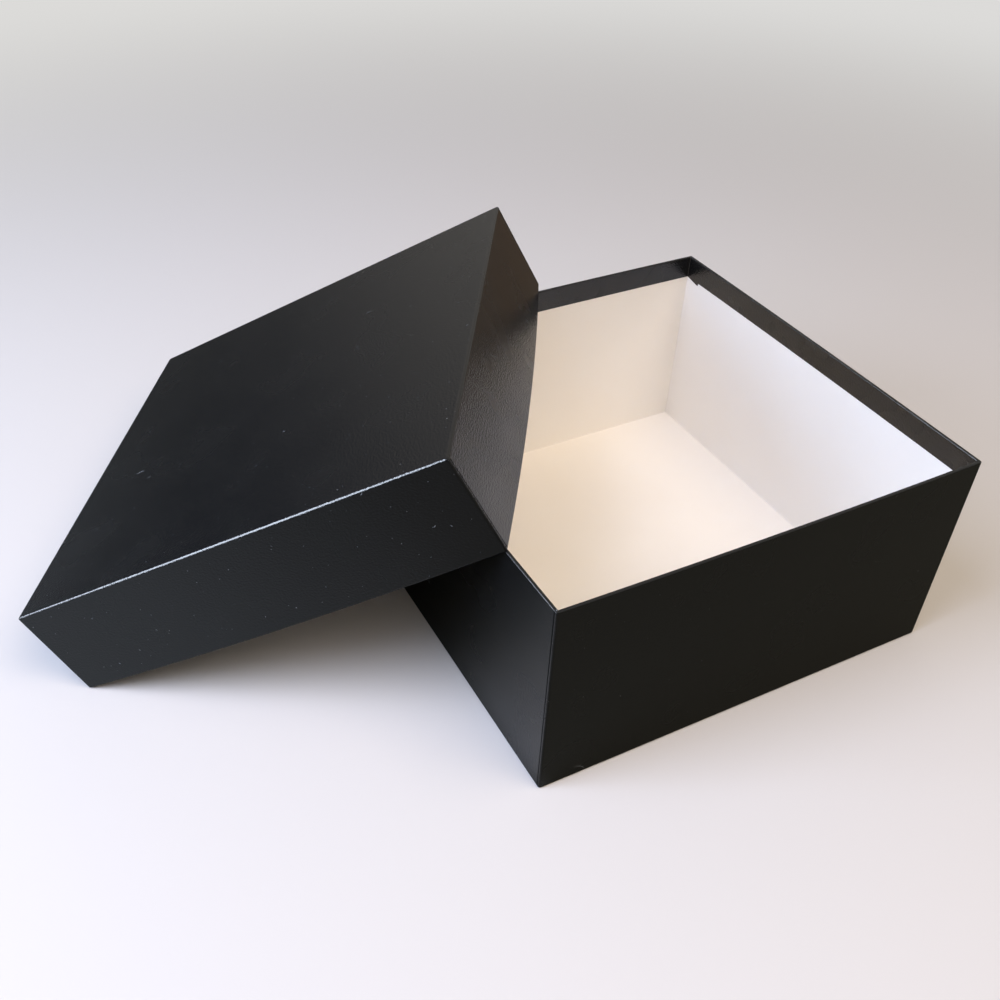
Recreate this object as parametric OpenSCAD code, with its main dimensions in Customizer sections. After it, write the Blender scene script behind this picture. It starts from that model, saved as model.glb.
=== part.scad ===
// Rigid two-piece gift box, with its lid off and leaning on the base.
// Base and lid are each a folded board tray with one sheet of covering paper
// glued over it, which turns over the rim and ends on the inside of the walls.
// Millimetres. The base stands on z = 0 with its middle at the origin.

/* [Base] */
// Width of the base, left to right
base_w = 200; // [170:1:300]
// Depth of the base, front to back
base_d = 200; // [170:1:300]
// Height of the base
base_h = 99; // [60:1:130]
// How far the middle of each base wall bows out at the rim
base_bow = 0.8; // [0:0.1:2]

/* [Lid] */
// Height of the lid
lid_h = 45.3; // [25:0.1:80]
// Gap between base wall and lid wall when the box is shut
lid_fit = 0.35; // [0.2:0.05:1]
// How far the middle of a free lid wall bows out at the lip
lid_bow = 2.8; // [0:0.1:4]
// Bow of the lid wall whose lip stands on the table
lid_foot_bow = 0.4; // [0:0.1:2]

/* [Board and paper] */
// Thickness of the tray board
board_t = 1.2; // [0.8:0.1:2]
// Thickness of the covering paper
paper_t = 0.15; // [0.1:0.01:0.3]
// How far the covering paper reaches down inside from the rim
turn_in = 11; // [6:0.5:18]
// Radius over a covered fold or corner
fold_r = 1; // [0.5:0.1:1.5]
// Radius over the covered rim
rim_r = 0.4; // [0.35:0.01:0.5]
// Length of the paper tab that runs on round each inside corner
tab_l = 5; // [3:0.5:12]
// How far a tab shows below the turned-in paper that covers it
tab_drop = 1; // [0.5:0.1:3]

/* [Leaning lid] */
// Turn of the lid from square to the base
lid_turn = 33; // [25:1:40]
// How far the lid's lip runs past the back rim of the base
lip_over = 7; // [3:0.5:12]
// How far the lid's front corner lies in from the base's left face
corner_in = 0; // [-2:0.1:0.2]
// Gap under the lid where it stands on the table and on the rim
rest_gap = 0.15; // [0.1:0.05:0.5]

/* [Hidden] */

white_board = "#efeae2";
black_paper = "#232425";

side_steps = 8;
arc_steps = 3;
board_in = paper_t + board_t;
wall_t = board_in + paper_t;
board_corner_r = 0.25;
lid_w = base_w + 2 * (lid_fit + wall_t);
lid_d = base_d + 2 * (lid_fit + wall_t);

// A tray is [width, depth, height, bows of the front, right, back and left walls]
base_tray = [base_w, base_d, base_h, [base_bow, base_bow, base_bow, base_bow]];
lid_tray = [lid_w, lid_d, lid_h, [lid_bow, lid_bow, lid_bow, lid_foot_bow]];

// The lean follows from where the lid touches: its left lip stands on the table
// and its right lip crosses the base's left and back rims. Where the base's
// back left corner would meet the inside of the lid, the lid leans steeper.
lid_span = lid_w + lid_foot_bow - wall_t;
corner_back = base_d - (lid_d - lip_over) * cos(lid_turn);
corner_reach = corner_in * cos(lid_turn) + (base_d - corner_back) * sin(lid_turn);
lid_inner_h = lid_h - board_in;
lean_step = 0.05;
function lip_z(lean) =
    rest_gap + rim_r + (lid_span + wall_t - rim_r) * sin(lean) - rim_r * cos(lean);
function corner_z(lean) = corner_reach * sin(lean) + (base_h - lip_z(lean)) * cos(lean);
function safe_lean(lean) =
    corner_z(lean) <= lid_inner_h - rest_gap ? lean : safe_lean(lean + lean_step);
lid_lean = safe_lean(asin(base_h / lid_span));

// Share of the full bow at a distance u from the middle of a wall
function bow_at(u, half) = max(0, 1 - pow(u / half, 2));

// Where a wall's outline has points, as [distance from the middle, drop]. The
// side walls carry the tabs, and drop marks the free end of each.
function wall_stops(k, u_end) =
    let (
        inner = [for (j = [1:side_steps - 1]) [u_end * (2 * j / side_steps - 1), 0]],
        tab = [[u_end, 0], [u_end - tab_l, 1], [u_end - tab_l - paper_t, 0]],
        left = [for (t = tab) [-t[0], t[1]]]
    )
    k % 2 == 0 ? concat([[-u_end, 0]], inner, [[u_end, 0]]) : concat(left, inner, reversed(tab));

// One wall of a tray's outline and the corner after it, walking anticlockwise.
// A wall is straight at its fold and bowed in full at its rim. row is one place
// in the wall's section: [inset, height, drop of a tab].
function wall_points(tray, k, row) =
    let (
        inset = row[0],
        half = tray[k % 2] / 2,
        out = tray[(k + 1) % 2] / 2 - inset,
        bow = tray[3][k] * row[1] / tray[2],
        r = max(fold_r - inset, board_corner_r),
        u_end = half - inset - r,
        v_end = out - r
    )
    [
        for (stop = wall_stops(k, u_end))
            [stop[0], -out - bow * bow_at(stop[0], half - fold_r), row[1] - stop[1] * row[2]],
        for (j = [1:arc_steps - 1])
            let (a = 90 * j / arc_steps - 90)
            [u_end + r * cos(a), -v_end + r * sin(a), row[1]]
    ];
function turned(p, a) = [p[0] * cos(a) - p[1] * sin(a), p[0] * sin(a) + p[1] * cos(a), p[2]];
function outline(tray, row) = [for (k = [0:3]) for (p = wall_points(tray, k, row)) turned(p, 90 * k)];

// Rounded stretches of a wall's section: the fold at the floor, and the rim
arc_angles = [for (j = [0:arc_steps]) 90 * j / arc_steps];
function fold_arc(inset, z, r) =
    [for (a = arc_angles) [inset + r * (1 - sin(a)), z + r * (1 - cos(a)), 0]];
function outer_rim_arc(inset, z, r) =
    [for (a = arc_angles) [inset + r * (1 - cos(a)), z - r * (1 - sin(a)), 0]];
function inner_rim_arc(inset, z, r) =
    [for (a = arc_angles) [inset - r * (1 - sin(a)), z - r * (1 - cos(a)), 0]];
function reversed(list) = [for (i = [len(list) - 1:-1:0]) list[i]];

// Solid from a wall section carried round a tray's outline. The first and the
// last ring of the section are closed by flat panels about a middle point. Each
// patch of a bowed wall is split the same way on board and paper, so they meet.
module swept_tray(tray, section) {
    rings = [for (row = section) outline(tray, row)];
    count = len(rings[0]);
    last = len(rings) - 1;
    first_middle = count * len(rings);
    last_middle = first_middle + 1;
    middles = [[0, 0, section[0][1]], [0, 0, section[last][1]]];
    walls = [
        for (i = [0:last - 1])
            for (j = [0:count - 1])
                let (a = i * count + j, b = i * count + (j + 1) % count, c = a + count, d = b + count)
                each section[i + 1][1] > section[i][1] ? [[a, c, d], [a, d, b]] : [[a, c, b], [b, c, d]]
    ];
    panels = [
        for (j = [0:count - 1])
            let (next = (j + 1) % count)
            each [[first_middle, j, next], [last_middle, last * count + next, last * count + j]]
    ];
    polyhedron(points = concat([for (ring = rings) each ring], middles), faces = concat(walls, panels));
}

// Folded board: floor and four walls of one thickness
module tray_board(tray) {
    top = tray[2] - paper_t;
    edge_r = rim_r - paper_t;
    swept_tray(tray, concat(
        fold_arc(paper_t, paper_t, fold_r - paper_t),
        outer_rim_arc(paper_t, top, edge_r),
        inner_rim_arc(board_in, top, edge_r),
        [[board_in, tray[2] - turn_in, tab_drop], [board_in, board_in, 0]]
    ));
}

// Covering paper: under the floor, up the walls, over the rim and down inside.
// The front and back turn-ins run on round the corners as tabs. The side ones
// are stuck down over them, so only a tab's lower edge shows.
module tray_wrap(tray) {
    rim = tray[2];
    top = rim - paper_t;
    edge_r = rim_r - paper_t;
    swept_tray(tray, concat(
        fold_arc(0, 0, fold_r),
        outer_rim_arc(0, rim, rim_r),
        inner_rim_arc(wall_t, rim, rim_r),
        [[wall_t, rim - turn_in, tab_drop], [board_in, rim - turn_in, tab_drop]],
        reversed(inner_rim_arc(board_in, top, edge_r)),
        reversed(outer_rim_arc(paper_t, top, edge_r)),
        reversed(fold_arc(paper_t, paper_t, fold_r - paper_t))
    ));
}

// Puts a lid, modelled as an upright tray, into its leaning place
module leaned() {
    translate([corner_in - base_w / 2, corner_back - base_d / 2, lip_z(lid_lean)])
    rotate([0, 0, -lid_turn])
    rotate([0, -lid_lean, 0])
    translate([-lid_w / 2, lid_d / 2, lid_h])
    mirror([0, 0, 1])
    children();
}

module base_board() {
    color(white_board) tray_board(base_tray);
}

module base_wrap() {
    color(black_paper) tray_wrap(base_tray);
}

module lid_board() {
    color(white_board) leaned() tray_board(lid_tray);
}

module lid_wrap() {
    color(black_paper) leaned() tray_wrap(lid_tray);
}

base_board();
base_wrap();
lid_board();
lid_wrap();
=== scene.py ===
import math

import bmesh
import bpy
from mathutils import Matrix, Vector


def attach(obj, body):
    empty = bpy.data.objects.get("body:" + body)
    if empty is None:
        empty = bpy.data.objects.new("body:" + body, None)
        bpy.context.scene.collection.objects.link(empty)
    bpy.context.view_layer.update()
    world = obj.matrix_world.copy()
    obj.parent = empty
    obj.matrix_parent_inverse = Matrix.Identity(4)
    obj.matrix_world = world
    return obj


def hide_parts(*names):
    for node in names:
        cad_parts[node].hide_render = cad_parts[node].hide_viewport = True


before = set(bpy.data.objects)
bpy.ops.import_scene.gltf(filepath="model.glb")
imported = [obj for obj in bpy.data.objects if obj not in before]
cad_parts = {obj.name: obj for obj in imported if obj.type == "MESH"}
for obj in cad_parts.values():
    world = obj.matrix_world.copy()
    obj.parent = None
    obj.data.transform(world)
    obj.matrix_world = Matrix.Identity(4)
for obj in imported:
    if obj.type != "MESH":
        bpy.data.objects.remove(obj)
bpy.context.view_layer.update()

mm = 0.001

# A rigid gift box with its lid off, leaning on the base. Each half is a folded
# board tray, white inside, under one sheet of embossed black covering paper.

# Settings shared by the pieces


def linearColour(hexColour):
    # sRGB hex to the linear red, green, blue and alpha that Blender's sockets take
    channels = [int(hexColour[i:i + 2], 16) / 255 for i in (1, 3, 5)]
    return (*[c / 12.92 if c <= 0.04045 else ((c + 0.055) / 1.055) ** 2.4 for c in channels], 1.0)


def addNode(tree, kind, inputs=None, **settings):
    # inputs maps a socket name or number to a value or to the socket that feeds it
    node = tree.nodes.new(kind)
    for name, value in settings.items():
        setattr(node, name, value)
    for name, value in (inputs or {}).items():
        if isinstance(value, bpy.types.NodeSocket):
            tree.links.new(value, node.inputs[name])
        else:
            node.inputs[name].default_value = value
    return node


def mathNode(tree, operation, *values):
    return addNode(tree, "ShaderNodeMath", dict(enumerate(values)), operation=operation).outputs[0]


def mixColours(tree, share, first, second):
    return addNode(tree, "ShaderNodeMix", {0: share, 6: first, 7: second}, data_type="RGBA").outputs[2]


def mapRange(tree, value, start, end, low=0.0, high=1.0, **settings):
    return addNode(tree, "ShaderNodeMapRange", {
        "Value": value, "From Min": start, "From Max": end, "To Min": low, "To Max": high},
        **settings).outputs[0]


stock = {
    "boardT": 1.2 * mm,
    "paperT": 0.15 * mm,
    "turnIn": 11 * mm,
    "tabLength": 9 * mm,
    "tabDrop": 1.4 * mm,
    "foldRadius": 1 * mm,
    "rimRadius": 0.4 * mm,
    "insideRadius": 0.35 * mm,
}
wallT = stock["boardT"] + 2 * stock["paperT"]

base = {
    "width": 200 * mm,
    "depth": 200 * mm,
    "height": 99 * mm,
    "bows": {"front": 0.8 * mm, "right": 0.8 * mm, "back": 0.8 * mm, "left": 0.8 * mm},
    "dust": 0.35,           # the lid has caught more of it
    "place": Matrix.Identity(4),
}
lid = {
    "fit": 0.35 * mm,
    "height": 45.3 * mm,
    "bows": {"front": 2.8 * mm, "right": 2.8 * mm, "back": 2.8 * mm, "left": 0.4 * mm},
    "dust": 1.0,
    "turn": math.radians(-33),
    "lean": math.radians(-29.2517),
    "lipOver": 7 * mm,
    "lipHeight": 99.7385 * mm,
}
lid["width"] = base["width"] + 2 * (lid["fit"] + wallT)
lid["depth"] = base["depth"] + 2 * (lid["fit"] + wallT)
lipCorner = Vector((
    -base["width"] / 2,
    base["depth"] / 2 - (lid["depth"] - lid["lipOver"]) * math.cos(lid["turn"]),
    lid["lipHeight"],
))
lid["place"] = (
    Matrix.Translation(lipCorner)
    @ Matrix.Rotation(lid["turn"], 4, "Z")
    @ Matrix.Rotation(lid["lean"], 4, "Y")
    @ Matrix.Translation((-lid["width"] / 2, lid["depth"] / 2, lid["height"]))
    @ Matrix.Rotation(math.pi, 4, "X")
)

# Materials


def newMaterial(name):
    material = bpy.data.materials.new(name)
    material.use_nodes = True
    tree = material.node_tree
    tree.nodes.clear()
    return material, tree


# Embossed covering paper: black coated paper, rolled with a fine leather grain.
# Its coat is satin, and the grain shows only where something bright is mirrored
# at a low angle. Pale dust lies on it in specks and short fibres.
paper = {
    "colour": "#0a0b0d",
    "roughness": (0.23, 0.29),
    "cloudSize": 35,        # mm, over which the roughness changes
    "refraction": 1.55,
    "cutEdgeShadeColour": "#060607",   # the cut edge where the sheet laps at a corner, painted black as the shade in the gap under it
    "grain": 0.95,          # mm, half the way from one wrinkle to the next
    "grainDepth": 0.14 * mm,
    "dustColour": "#a3a8ad",
    "speckCore": 0.5,       # share of a speck's radius inside which it is solid
    "strokeCore": (0.4, 0.5),   # the same across and along a stroke
    "specks": [
        # stretch along and across, turn, mm between specks, mm radius, share kept
        {"stretch": (1, 1), "turn": 0.0, "spacing": 14, "radius": 0.2, "kept": 0.45},
        {"stretch": (1, 1), "turn": 0.7, "spacing": 8, "radius": 0.14, "kept": 0.4},
        {"stretch": (0.18, 1), "turn": 0.6, "spacing": 15, "radius": 0.13, "kept": 0.5},
        {"stretch": (0.22, 1), "turn": 2.1, "spacing": 17, "radius": 0.13, "kept": 0.5},
    ],
    "strokes": [
        # mm on the sheet, as length and width: two scuffs and a fibre on top of the
        # lid, and a hair at the foot of the base's front
        {"at": (-71.4, 17.7), "turn": 0.0, "bend": 0.0, "size": (5, 0.34), "strength": 0.5},
        {"at": (-62.6, 26), "turn": -0.3, "bend": 0.0, "size": (2.2, 0.26), "strength": 0.45},
        {"at": (40, -45.8), "turn": -0.2, "bend": 0.0, "size": (3, 0.22), "strength": 0.35},
        {"at": (-81.1, -104.3), "turn": 0.6, "bend": 0.07, "size": (7.5, 0.24), "strength": 0.45},
    ],
}


def speckLayer(tree, sheet, speck):
    # pale dots scattered on the sheet, or fibres where the stretch is under 1
    turned = addNode(tree, "ShaderNodeMapping", {"Vector": sheet, "Rotation": (0, 0, speck["turn"])})
    stretched = addNode(tree, "ShaderNodeMapping", {
        "Vector": turned.outputs[0], "Scale": (*speck["stretch"], 1)})
    cells = addNode(tree, "ShaderNodeTexVoronoi", {
        "Vector": stretched.outputs[0], "Scale": 1 / speck["spacing"]}, voronoi_dimensions="2D")
    radius = speck["radius"] / speck["spacing"]
    shape = mapRange(tree, cells.outputs["Distance"], radius, paper["speckCore"] * radius)
    chance = addNode(tree, "ShaderNodeSeparateColor", {"Color": cells.outputs["Color"]}).outputs[0]
    return mathNode(tree, "MULTIPLY", shape, mapRange(tree, chance, 1 - speck["kept"], 1.0))


def strokeLayer(tree, sheet, stroke):
    # one thin stroke, bent to a shallow curve
    placed = addNode(tree, "ShaderNodeMapping", {
        "Vector": sheet, "Location": (*stroke["at"], 0), "Rotation": (0, 0, stroke["turn"])},
        vector_type="TEXTURE")
    parts = addNode(tree, "ShaderNodeSeparateXYZ", {0: placed.outputs[0]})
    along = parts.outputs["X"]
    square = mathNode(tree, "MULTIPLY", along, along)
    across = mathNode(tree, "MULTIPLY_ADD", square, -stroke["bend"], parts.outputs["Y"])
    length, width = stroke["size"]
    share = stroke["strength"]
    for place, reach, core in zip((across, along), (width, length / 2), paper["strokeCore"]):
        inside = mapRange(tree, mathNode(tree, "ABSOLUTE", place), reach, core * reach)
        share = mathNode(tree, "MULTIPLY", inside, share)
    return share


def coveringPaper():
    material, tree = newMaterial("embossedCoveringPaper")
    sheet = addNode(tree, "ShaderNodeUVMap", uv_map="sheet").outputs[0]
    wrinkles = addNode(tree, "ShaderNodeTexNoise", {
        "Vector": sheet, "Scale": 1 / paper["grain"], "Detail": 1, "Roughness": 0.6})
    bump = addNode(tree, "ShaderNodeBump", {
        "Height": wrinkles.outputs["Fac"], "Strength": 1.0, "Distance": paper["grainDepth"]})
    cloud = addNode(tree, "ShaderNodeTexNoise", {
        "Vector": sheet, "Scale": 1 / paper["cloudSize"], "Detail": 2})
    roughness = mapRange(tree, cloud.outputs["Fac"], 0.3, 0.7, *paper["roughness"])
    dust = 0.0
    for speck in paper["specks"]:
        dust = mathNode(tree, "MAXIMUM", speckLayer(tree, sheet, speck), dust)
    dusty = addNode(tree, "ShaderNodeAttribute", attribute_name="dusty").outputs["Fac"]
    dust = mathNode(tree, "MULTIPLY", dust, dusty)
    for stroke in paper["strokes"]:
        dust = mathNode(tree, "MAXIMUM", dust, strokeLayer(tree, sheet, stroke))
    colour = mixColours(tree, dust, linearColour(paper["colour"]), linearColour(paper["dustColour"]))
    shader = addNode(tree, "ShaderNodeBsdfPrincipled", {
        "Base Color": colour, "Roughness": roughness, "Normal": bump.outputs[0],
        "IOR": paper["refraction"]})
    # the lapped cut edge is painted matt black: painted shade for the gap under the paper's edge
    cutEdgeShade = addNode(tree, "ShaderNodeAttribute", attribute_name="cutEdgeShade").outputs["Fac"]
    cutEdgeShadeBsdf = addNode(tree, "ShaderNodeBsdfDiffuse", {"Color": linearColour(paper["cutEdgeShadeColour"])})
    surface = addNode(tree, "ShaderNodeMixShader", {
        0: cutEdgeShade, 1: shader.outputs[0], 2: cutEdgeShadeBsdf.outputs[0]})
    addNode(tree, "ShaderNodeOutputMaterial", {"Surface": surface.outputs[0]})
    return material


# White-lined board: grey board faced with smooth uncoated white paper, which is
# matt and very slightly uneven, with a faint tooth.
board = {
    "colour": "#f6f3ed",
    "shadeColour": "#f1ece4",
    "roughness": 0.62,
    "refraction": 1.45,
    "cloudSize": 45,        # mm, over which the colour changes
    "toothSize": 0.6,       # mm, coarser than the real fibres so that it can show
    "toothDepth": 0.006 * mm,
}


def whiteLinedBoard():
    material, tree = newMaterial("whiteLinedBoard")
    place = addNode(tree, "ShaderNodeAttribute", attribute_name="trayPlace").outputs["Vector"]
    cloud = addNode(tree, "ShaderNodeTexNoise", {
        "Vector": place, "Scale": 1 / board["cloudSize"], "Detail": 3, "Roughness": 0.5})
    colour = mixColours(
        tree, cloud.outputs["Fac"], linearColour(board["colour"]), linearColour(board["shadeColour"]))
    tooth = addNode(tree, "ShaderNodeTexNoise", {
        "Vector": place, "Scale": 1 / board["toothSize"], "Detail": 2})
    bump = addNode(tree, "ShaderNodeBump", {
        "Height": tooth.outputs["Fac"], "Strength": 1.0, "Distance": board["toothDepth"]})
    shader = addNode(tree, "ShaderNodeBsdfPrincipled", {
        "Base Color": colour, "Roughness": board["roughness"], "Normal": bump.outputs[0],
        "IOR": board["refraction"]})
    addNode(tree, "ShaderNodeOutputMaterial", {"Surface": shader.outputs[0]})
    return material


blackPaper = coveringPaper()
whiteBoard = whiteLinedBoard()
for nodeName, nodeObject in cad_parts.items():
    nodeObject.data.materials.clear()
    nodeObject.data.materials.append(blackPaper if nodeName.endswith("wrap") else whiteBoard)
print("materials made")

# Trays

model = {
    "gridStep": 10 * mm,    # between the cuts that let a wall bow smoothly
    "support": 0.5 * mm,    # from a fold to the nearest cut
    "weld": 1e-7,           # points closer than this are one
    "sharp": 1.2,           # radians, an edge turned by more is rounded
    "segments": {"fold": 5, "inside": 3, "rim": 4},
    "lapFrom": 0.05 * mm,   # from the corner fold to the cut edge of the lapped paper
    "lapGap": 1.0 * mm,
    "lapDepth": 0.12 * mm,
    "tabDepth": 0.01 * mm,  # behind the face of the turn-in that covers it
    "tabSlope": 1.15,       # over 1, so that the drop is full before the tab's end
}


def roundEdges(bm, edges, radius, segments):
    bmesh.ops.bevel(bm, geom=edges, offset=radius, offset_type="OFFSET", segments=segments,
                    profile=0.5, affect="EDGES", material=-1)


def squareEdges(bm, keep):
    # edges of a right angle whose middle passes the test
    found = []
    for edge in bm.edges:
        middle = (edge.verts[0].co + edge.verts[1].co) / 2
        if edge.is_manifold and edge.calc_face_angle() > model["sharp"] and keep(middle):
            found.append(edge)
    return found


def cutAt(bm, axis, distance):
    normal = [0, 0, 0]
    normal[axis] = 1
    bmesh.ops.bisect_plane(bm, geom=bm.verts[:] + bm.edges[:] + bm.faces[:], dist=model["weld"],
                           plane_co=[distance * n for n in normal], plane_no=normal)


def foldedTray(tray, inset, wall):
    # closed tray that stands in from the tray's outside by inset
    width, depth = tray["width"] - 2 * inset, tray["depth"] - 2 * inset
    height = tray["height"] - 2 * inset
    top = inset + height
    bm = bmesh.new()
    bmesh.ops.create_cube(bm, size=1)
    bmesh.ops.transform(bm, verts=bm.verts, matrix=Matrix.Translation((0, 0, inset + height / 2))
                        @ Matrix.Diagonal((width, depth, height, 1)))
    mouth = max(bm.faces, key=lambda face: face.calc_center_median().z)
    bmesh.ops.inset_region(bm, faces=[mouth], thickness=wall, use_even_offset=True)
    bmesh.ops.inset_region(bm, faces=[mouth], thickness=0, depth=wall - height)

    def outside(p):
        return max(abs(p.x) - width / 2, abs(p.y) - depth / 2) > -wall / 2

    def belowRim(p):
        return p.z < top - wall / 2

    segments = model["segments"]
    folds = squareEdges(bm, lambda p: outside(p) and belowRim(p))
    roundEdges(bm, folds, stock["foldRadius"] - inset, segments["fold"])
    insides = squareEdges(bm, lambda p: not outside(p) and belowRim(p))
    roundEdges(bm, insides, stock["insideRadius"], segments["inside"])
    rims = squareEdges(bm, lambda p: p.z > top - wall / 4)
    roundEdges(bm, rims, stock["rimRadius"] - inset, segments["rim"])
    for axis, size in ((0, width), (1, depth)):
        reach = size / 2 - stock["foldRadius"] - model["support"]
        steps = round(2 * reach / model["gridStep"])
        for i in range(steps + 1):
            cutAt(bm, axis, reach * (2 * i / steps - 1))
    return bm


def bowWalls(bm, tray):
    # a wall is straight at its fold and bowed in full at its rim
    halfW, halfD = tray["width"] / 2, tray["depth"] / 2
    bows = tray["bows"]

    def bowed(place, bow, across, half):
        share = max(0, 1 - (across / (half - stock["foldRadius"])) ** 2)
        return place + math.copysign(bow * share, place)

    for vert in bm.verts:
        x, y, z = vert.co
        rise = z / tray["height"]
        if abs(x) > halfW - 2 * wallT:
            vert.co.x = bowed(x, rise * bows["right" if x > 0 else "left"], y, halfD)
        if abs(y) > halfD - 2 * wallT:
            vert.co.y = bowed(y, rise * bows["back" if y > 0 else "front"], x, halfW)


def trayBoard(tray):
    return foldedTray(tray, stock["paperT"], stock["boardT"])


def trayWrap(tray):
    # the outer skin of the tray, over the rim and a short way down inside
    bm = foldedTray(tray, 0, wallT)
    halfW, halfD = tray["width"] / 2, tray["depth"] / 2
    edgeZ = tray["height"] - stock["turnIn"]
    cutAt(bm, 2, edgeZ)
    cutAt(bm, 2, stock["foldRadius"] + model["support"])
    cutAt(bm, 2, tray["height"] - stock["rimRadius"] - model["support"])

    def isBare(p):
        within = abs(p.x) < halfW - wallT / 2 and abs(p.y) < halfD - wallT / 2
        return within and stock["paperT"] < p.z < edgeZ

    bare = [face for face in bm.faces if isBare(face.calc_center_median())]
    bmesh.ops.delete(bm, geom=bare, context="FACES")
    lapCorners(bm, tray)
    turnInTabs(bm, tray, edgeZ)
    return bm


def lapCorners(bm, tray):
    # the front and back paper runs round each corner, and the side paper ends
    # just short of the fold in a fine step down the side wall, painted matt black as its shade
    halfW, halfD = tray["width"] / 2, tray["depth"] / 2
    start = halfD - stock["foldRadius"] - model["lapFrom"]
    middle = start - model["lapGap"] / 2
    for side in (-1, 1):
        for k in range(3):
            cutAt(bm, 1, side * (start - k * model["lapGap"] / 2))
    cutEdgeShade = bm.verts.layers.float.new("cutEdgeShade")
    for vert in bm.verts:
        x, y, z = vert.co
        if abs(x) > halfW - stock["paperT"] / 4 and abs(abs(y) - middle) < model["lapGap"] / 4:
            vert.co.x -= math.copysign(model["lapDepth"], x)
            vert[cutEdgeShade] = 1


def turnInTabs(bm, tray, edgeZ):
    # end of the front or back turn-in, which shows under the side one
    length, drop = stock["tabLength"], stock["tabDrop"]
    insideX, insideY = tray["width"] / 2 - wallT, tray["depth"] / 2 - wallT
    for sideX in (-1, 1):
        for sideY in (-1, 1):
            made = bmesh.ops.create_grid(bm, x_segments=5, y_segments=2, size=0.5)["verts"]
            for vert in made:
                along, up = vert.co.x + 0.5, vert.co.y + 0.5
                low = edgeZ - drop * min(1, along * model["tabSlope"])
                vert.co = Vector((
                    sideX * (insideX + model["tabDepth"]),
                    sideY * (insideY - along * length),
                    low + up * (edgeZ + drop - low),
                ))
            faces = {face for vert in made for face in vert.link_faces}
            for face in faces:
                face.normal_update()
                if face.normal.x * sideX > 0:
                    face.normal_flip()


def unfoldSheet(bm, tray):
    # where each face lies on the flat sheet, in mm, with the walls folded out
    uv = bm.loops.layers.uv.new("sheet")
    for face in bm.faces:
        face.normal_update()
        across, along = abs(face.normal.x), abs(face.normal.y)
        for loop in face.loops:
            x, y, z = loop.vert.co
            if across > 0.7:
                x = math.copysign(abs(x) + z, x)
            elif along > 0.7:
                y = math.copysign(abs(y) + z, y)
            loop[uv].uv = (x / mm, y / mm)


def finishPiece(bm, name, tray, material, body, node):
    bowWalls(bm, tray)
    bmesh.ops.remove_doubles(bm, verts=bm.verts, dist=model["weld"])
    unfoldSheet(bm, tray)
    placeLayer = bm.verts.layers.float_vector.new("trayPlace")
    dustyLayer = bm.verts.layers.float.new("dusty")
    for vert in bm.verts:
        vert[placeLayer] = vert.co / mm
        vert[dustyLayer] = tray["dust"]
    bmesh.ops.transform(bm, matrix=tray["place"], verts=bm.verts)
    for face in bm.faces:
        face.smooth = True
    mesh = bpy.data.meshes.new(name)
    bm.to_mesh(mesh)
    bm.free()
    piece = bpy.data.objects.new(name, mesh)
    bpy.context.scene.collection.objects.link(piece)
    mesh.materials.append(material)
    if node.endswith("wrap"):
        skin = piece.modifiers.new("paperThickness", "SOLIDIFY")
        skin.thickness = stock["paperT"]
        skin.offset = -1
    weighted = piece.modifiers.new("flatPanels", "WEIGHTED_NORMAL")
    weighted.weight = 100   # the flat panels stay flat beside their rounded folds
    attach(piece, body)
    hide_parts(node)


finishPiece(trayBoard(base), "baseBoard", base, whiteBoard, "base", "base_board")
finishPiece(trayWrap(base), "baseCoveringPaper", base, blackPaper, "base", "base_wrap")
print("base modelled")
finishPiece(trayBoard(lid), "lidBoard", lid, whiteBoard, "lid", "lid_board")
finishPiece(trayWrap(lid), "lidCoveringPaper", lid, blackPaper, "lid", "lid_wrap")
print("lid modelled")

# Floor, light and camera

studio = {
    "floorColour": "#d6d4d1",   # as the camera sees it
    "floorRoughness": 0.9,
    "floorSpecular": 0.2,
    "backdropColour": "#dcdbd9",
    "fadeRadii": (0.35, 1.1),   # where the floor turns into the backdrop
    "tableColour": "#5c5b50",   # as the box mirrors it
    "paintedLightPools": [
        # and painted pools of light on it, beside the base and beside the lid, and a warmer
        # painted pool far off. x and y go from none to the full share and back to none.
        {"x": (-0.22, -0.15, -0.106, -0.092), "y": (-0.11, -0.09, -0.08, -0.01),
         "colour": "#b2b2b0", "share": 1.0},
        {"x": (-0.6, -0.4, -0.22, -0.12), "y": (-0.2, -0.03, 0.2, 0.4),
         "colour": "#a9b0b0", "share": 0.62},
        {"x": (0.2, 0.45, 1.0, 1.5), "y": (0.1, 0.35, 1.0, 1.5),
         "colour": "#8a7056", "share": 1.0},
    ],
    "floorSize": 8.0,
    "roomDark": "#191f29",      # the room low down and to the left
    "roomPale": "#8b8781",      # to the right and overhead
    "paleSide": (0.8, 0, 1),    # direction in which the room turns pale
    "paleFade": (0.02, 0.35),
    "roomGleam": 0.9,           # how much brighter the room is where it is mirrored
    "lamps": {
        "window": {"at": (-1.19, 0.22, 0.62), "aim": (0, 0, 0.1), "size": (1.3, 0.6), "power": 50,
                   "colour": "#dee9fb", "seenBy": "glossy"},
        "side": {"at": (-1.2, 0.1, 0.6), "aim": (0, 0, 0.05), "size": (0.7, 0.5), "power": 13.5,
                 "colour": "#cfdefc", "seenBy": "diffuse"},
        "skylight": {"at": (-0.75, -0.05, 1.0), "aim": (0, 0, 0), "size": (0.7, 0.7), "power": 9,
                     "colour": "#d6e0ff", "seenBy": "diffuse"},
        "ceiling": {"at": (0.1, -0.58, 1.17), "aim": (0, 0, 0), "size": (0.9, 0.9), "power": 11.2,
                    "colour": "#ffead4", "seenBy": "diffuse"},
    },
}


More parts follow.
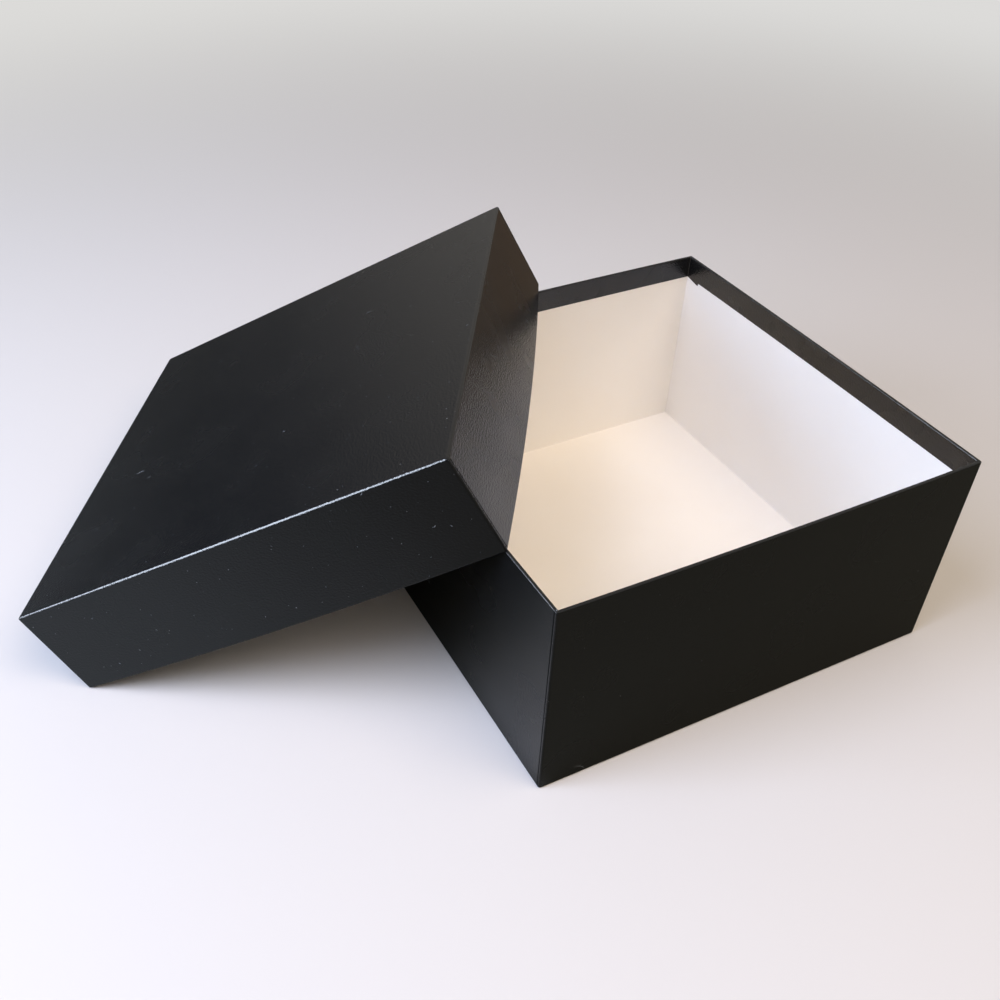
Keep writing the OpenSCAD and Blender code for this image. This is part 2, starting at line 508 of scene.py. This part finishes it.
def makeFloor():
    bm = bmesh.new()
    bmesh.ops.create_grid(bm, x_segments=1, y_segments=1, size=studio["floorSize"] / 2)
    mesh = bpy.data.meshes.new("floor")
    bm.to_mesh(mesh)
    bm.free()
    floor = bpy.data.objects.new("floor", mesh)
    bpy.context.scene.collection.objects.link(floor)
    # Plain matt painted board. It looks pale, and the box mirrors it as a darker table with painted
    # pools of light on it, which is what its faces show in the photo.
    material, tree = newMaterial("mattPaintedFloor")
    place = addNode(tree, "ShaderNodeTexCoord").outputs["Object"]
    parts = addNode(tree, "ShaderNodeSeparateXYZ", {0: place})
    table = linearColour(studio["tableColour"])
    # painted pools of light, mixed into the table colour that only reflections and bounce light see
    for lightPool in studio["paintedLightPools"]:
        share = lightPool["share"]
        for side in ("x", "y"):
            for start, end in (lightPool[side][:2], lightPool[side][:1:-1]):
                inside = mapRange(tree, parts.outputs[side.upper()], start, end)
                share = mathNode(tree, "MULTIPLY", inside, share)
        table = mixColours(tree, share, table, linearColour(lightPool["colour"]))
    seen = addNode(tree, "ShaderNodeLightPath").outputs["Is Camera Ray"]
    shader = addNode(tree, "ShaderNodeBsdfPrincipled", {
        "Base Color": mixColours(tree, seen, table, linearColour(studio["floorColour"])),
        "Roughness": studio["floorRoughness"], "Specular IOR Level": studio["floorSpecular"]})
    backdrop = addNode(tree, "ShaderNodeEmission", {"Color": linearColour(studio["backdropColour"])})
    fromMiddle = addNode(tree, "ShaderNodeVectorMath", {0: place}, operation="LENGTH").outputs["Value"]
    distant = mapRange(tree, fromMiddle, *studio["fadeRadii"], interpolation_type="SMOOTHSTEP")
    surface = addNode(tree, "ShaderNodeMixShader", {
        0: mathNode(tree, "MULTIPLY", distant, seen), 1: shader.outputs[0], 2: backdrop.outputs[0]})
    addNode(tree, "ShaderNodeOutputMaterial", {"Surface": surface.outputs[0]})
    mesh.materials.append(material)


def makeLamps():
    for name, lamp in studio["lamps"].items():
        data = bpy.data.lights.new(name, "AREA")
        data.shape = "RECTANGLE"
        data.size, data.size_y = lamp["size"]
        data.energy = lamp["power"]
        data.color = linearColour(lamp["colour"])[:3]
        obj = bpy.data.objects.new(name, data)
        obj.visible_diffuse = lamp["seenBy"] == "diffuse"
        obj.visible_glossy = lamp["seenBy"] == "glossy"
        obj.location = lamp["at"]
        obj.rotation_mode = "QUATERNION"
        obj.rotation_quaternion = (Vector(lamp["aim"]) - Vector(lamp["at"])).to_track_quat("-Z", "Y")
        bpy.context.scene.collection.objects.link(obj)


def makeWorld():
    # a dim room, darkest low down on the left
    world = bpy.data.worlds.new("studio")
    world.use_nodes = True
    tree = world.node_tree
    tree.nodes.clear()
    direction = addNode(tree, "ShaderNodeTexCoord").outputs["Generated"]
    toPale = addNode(tree, "ShaderNodeVectorMath", {
        0: direction, 1: studio["paleSide"]}, operation="DOT_PRODUCT").outputs["Value"]
    pale = mapRange(tree, toPale, *studio["paleFade"])
    room = mixColours(tree, pale, linearColour(studio["roomDark"]), linearColour(studio["roomPale"]))
    path = addNode(tree, "ShaderNodeLightPath")
    shown = mixColours(tree, path.outputs["Is Camera Ray"], room, linearColour(studio["backdropColour"]))
    strength = mathNode(tree, "MULTIPLY_ADD", path.outputs["Is Glossy Ray"], studio["roomGleam"], 1.0)
    background = addNode(tree, "ShaderNodeBackground", {"Color": shown, "Strength": strength})
    addNode(tree, "ShaderNodeOutputWorld", {"Surface": background.outputs[0]})
    bpy.context.scene.world = world


photoCamera = {
    "at": Vector((-252.75, -321.45, 362.85)) * mm,
    "right": (0.89286, -0.45006, 0.01583),
    "down": (-0.28629, -0.59438, -0.7515),
    "forward": (0.34763, 0.66645, -0.65955),
    "focalPixels": 1097.5,
    "middle": (461.3, 546.6),
    "imageSize": 1000,
}


def makeCamera():
    data = bpy.data.cameras.new("camera")
    data.sensor_width = 36
    data.lens = photoCamera["focalPixels"] / photoCamera["imageSize"] * data.sensor_width
    data.shift_x = 0.5 - photoCamera["middle"][0] / photoCamera["imageSize"]
    data.shift_y = photoCamera["middle"][1] / photoCamera["imageSize"] - 0.5
    camera = bpy.data.objects.new("camera", data)
    axes = [Vector(photoCamera["right"]), -Vector(photoCamera["down"]), -Vector(photoCamera["forward"])]
    turn = Matrix(axes)
    camera.matrix_world = Matrix.Translation(photoCamera["at"]) @ turn.transposed().to_4x4()
    bpy.context.scene.collection.objects.link(camera)
    bpy.context.scene.camera = camera


makeFloor()
makeLamps()
makeWorld()
makeCamera()
bpy.context.scene.view_settings.view_transform = "Standard"
print("studio set up")
